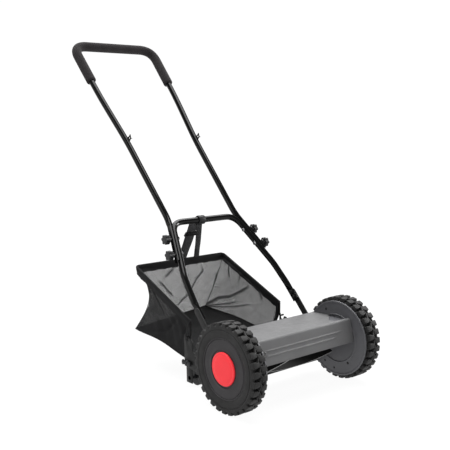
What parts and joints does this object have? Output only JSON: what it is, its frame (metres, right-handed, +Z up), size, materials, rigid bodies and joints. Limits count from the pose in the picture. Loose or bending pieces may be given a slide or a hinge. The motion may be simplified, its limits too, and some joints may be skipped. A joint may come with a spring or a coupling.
{
  "type": "reel mower",
  "caption": "Push reel mower with lugged drive wheels, a helical blade reel under a sheet cover, a rear roller, a two-part tube handle and a hanging grass bag.",
  "frame": {"origin": "middle of the underside of the whole object's box, on the ground", "axes": "+X along the wheel axle to the operator's left, +Y back towards the handle's grip, +Z up"},
  "size_m": [0.4092, 0.8533, 0.847],
  "materials": {
    "grey_paint": "satin grey powder coat",
    "black_paint": "gloss black powder coat",
    "matte_black_paint": "matte black paint",
    "black_plastic": "fine-grained moulded plastic",
    "wheel_plastic": "moulded plastic, slightly mottled",
    "tyre_rubber": "moulded rubber lugs",
    "cap_red": "satin red plastic",
    "zinc_steel": "zinc-plated steel",
    "grip_foam": "closed-cell foam",
    "bag_fabric": "woven polyester mesh and solid cloth"
  },
  "bodies": {
    "chassis": {"side_plate_right": "grey_paint", "side_plate_left": "grey_paint", "reel_cover": "grey_paint", "cover_screw": "zinc_steel", "knife_bar": "black_paint", "bed_knife": "zinc_steel", "axle_bolt_right": "zinc_steel", "axle_bolt_left": "zinc_steel", "reel_bearing_right": "zinc_steel", "reel_bearing_left": "zinc_steel", "handle_pivot_bolt_right": "zinc_steel", "handle_pivot_bolt_left": "zinc_steel", "rear_arm_right": "black_paint", "rear_arm_left": "black_paint"},
    "wheel_right": {"tyre_right": "tyre_rubber", "rim_right": "wheel_plastic", "hub_cap_right": "cap_red"},
    "wheel_left": {"tyre_left": "tyre_rubber", "rim_left": "wheel_plastic", "hub_cap_left": "cap_red"},
    "reel": {"reel_shaft": "zinc_steel", "reel_blade_1": "black_paint", "reel_blade_2": "black_paint", "reel_blade_3": "black_paint", "reel_blade_4": "black_paint", "reel_blade_5": "black_paint", "reel_spider_right": "black_paint", "reel_spider_middle": "black_paint", "reel_spider_left": "black_paint", "pinion_right": "zinc_steel"},
    "drive_pinion_left": {"pinion_left": "zinc_steel"},
    "roller_carriage": {"roller_carrier_right": "black_paint", "roller_carrier_left": "black_paint"},
    "rear_roller": {"roller": "black_plastic"},
    "wing_screw_right": {"wing_screw_right": "black_plastic"},
    "wing_screw_left": {"wing_screw_left": "black_plastic"},
    "handle": {"lower_bar_right": "matte_black_paint", "lower_bar_left": "matte_black_paint", "middle_loop": "black_paint", "bar_bolt_upper_right": "zinc_steel", "bar_bolt_lower_right": "zinc_steel", "bar_bolt_upper_left": "zinc_steel", "bar_bolt_lower_left": "zinc_steel", "upper_handle": "black_paint", "foam_grip": "grip_foam", "hook_tab_right": "black_paint", "hook_tab_left": "black_paint", "knob_bolt_upper_right": "zinc_steel", "knob_bolt_lower_right": "zinc_steel", "knob_bolt_upper_left": "zinc_steel", "knob_bolt_lower_left": "zinc_steel", "strap_clip": "black_plastic"},
    "grass_bag": {"bag_shell": "bag_fabric", "bag_frame": "black_paint"},
    "strap": {"bag_strap": "bag_fabric"},
    "star_knob_upper_right": {"star_knob_upper_right": "black_plastic"},
    "star_knob_lower_right": {"star_knob_lower_right": "black_plastic"},
    "star_knob_upper_left": {"star_knob_upper_left": "black_plastic"},
    "star_knob_lower_left": {"star_knob_lower_left": "black_plastic"}
  },
  "joints": [
    {"name": "wheel_right_spin", "type": "hinge", "parent": "chassis", "child": "wheel_right", "pos_m": [-0.184, -0.32545, 0.1014], "axis": [1, 0, 0], "continuous": true},
    {"name": "wheel_left_spin", "type": "hinge", "parent": "chassis", "child": "wheel_left", "pos_m": [0.184, -0.32545, 0.1014], "axis": [1, 0, 0], "continuous": true},
    {"name": "reel_spin", "type": "hinge", "parent": "chassis", "child": "reel", "pos_m": [0, -0.28245, 0.092], "axis": [1, 0, 0], "continuous": true},
    {"name": "pinion_left_spin", "type": "hinge", "parent": "chassis", "child": "drive_pinion_left", "pos_m": [0.171, -0.28245, 0.092], "axis": [1, 0, 0], "continuous": true},
    {"name": "roller_height", "type": "slide", "parent": "chassis", "child": "roller_carriage", "axis": [0, 0, 1], "range_m": [0, 0.027]},
    {"name": "roller_spin", "type": "hinge", "parent": "roller_carriage", "child": "rear_roller", "pos_m": [0, -0.14345, 0.022], "axis": [1, 0, 0], "continuous": true},
    {"name": "handle_float", "type": "hinge", "parent": "chassis", "child": "handle", "pos_m": [0, -0.25145, 0.1107], "axis": [1, 0, 0], "range_deg": [0, 12]},
    {"name": "bag_tilt", "type": "hinge", "parent": "chassis", "child": "grass_bag", "pos_m": [0, -0.13845, 0.122], "axis": [1, 0, 0], "range_deg": [0, 17]},
    {"name": "strap_swing", "type": "hinge", "parent": "handle", "child": "strap", "pos_m": [0, -0.00745, 0.376], "axis": [1, 0, 0], "range_deg": [-5, 0.5]},
    {"name": "wing_screw_right_turn", "type": "hinge", "parent": "chassis", "child": "wing_screw_right", "pos_m": [-0.16, -0.14145, 0.06], "axis": [1, 0, 0], "continuous": true},
    {"name": "wing_screw_left_turn", "type": "hinge", "parent": "chassis", "child": "wing_screw_left", "pos_m": [0.16, -0.14145, 0.06], "axis": [1, 0, 0], "continuous": true},
    {"name": "star_knob_upper_right_turn", "type": "hinge", "parent": "handle", "child": "star_knob_upper_right", "pos_m": [-0.145, -0.03899, 0.3417], "axis": [1, 0, 0], "continuous": true},
    {"name": "star_knob_lower_right_turn", "type": "hinge", "parent": "handle", "child": "star_knob_lower_right", "pos_m": [-0.145, -0.06979, 0.30821], "axis": [1, 0, 0], "continuous": true},
    {"name": "star_knob_upper_left_turn", "type": "hinge", "parent": "handle", "child": "star_knob_upper_left", "pos_m": [0.145, -0.03899, 0.3417], "axis": [1, 0, 0], "continuous": true},
    {"name": "star_knob_lower_left_turn", "type": "hinge", "parent": "handle", "child": "star_knob_lower_left", "pos_m": [0.145, -0.06979, 0.30821], "axis": [1, 0, 0], "continuous": true}
  ],
  "couplings": [
    {"joint": "reel_spin", "follows": "wheel_right_spin", "ratio": 4.2},
    {"joint": "pinion_left_spin", "follows": "wheel_left_spin", "ratio": 4.2},
    {"joint": "bag_tilt", "follows": "handle_float", "ratio": 1.345},
    {"joint": "strap_swing", "follows": "handle_float", "ratio": -0.36}
  ]
}
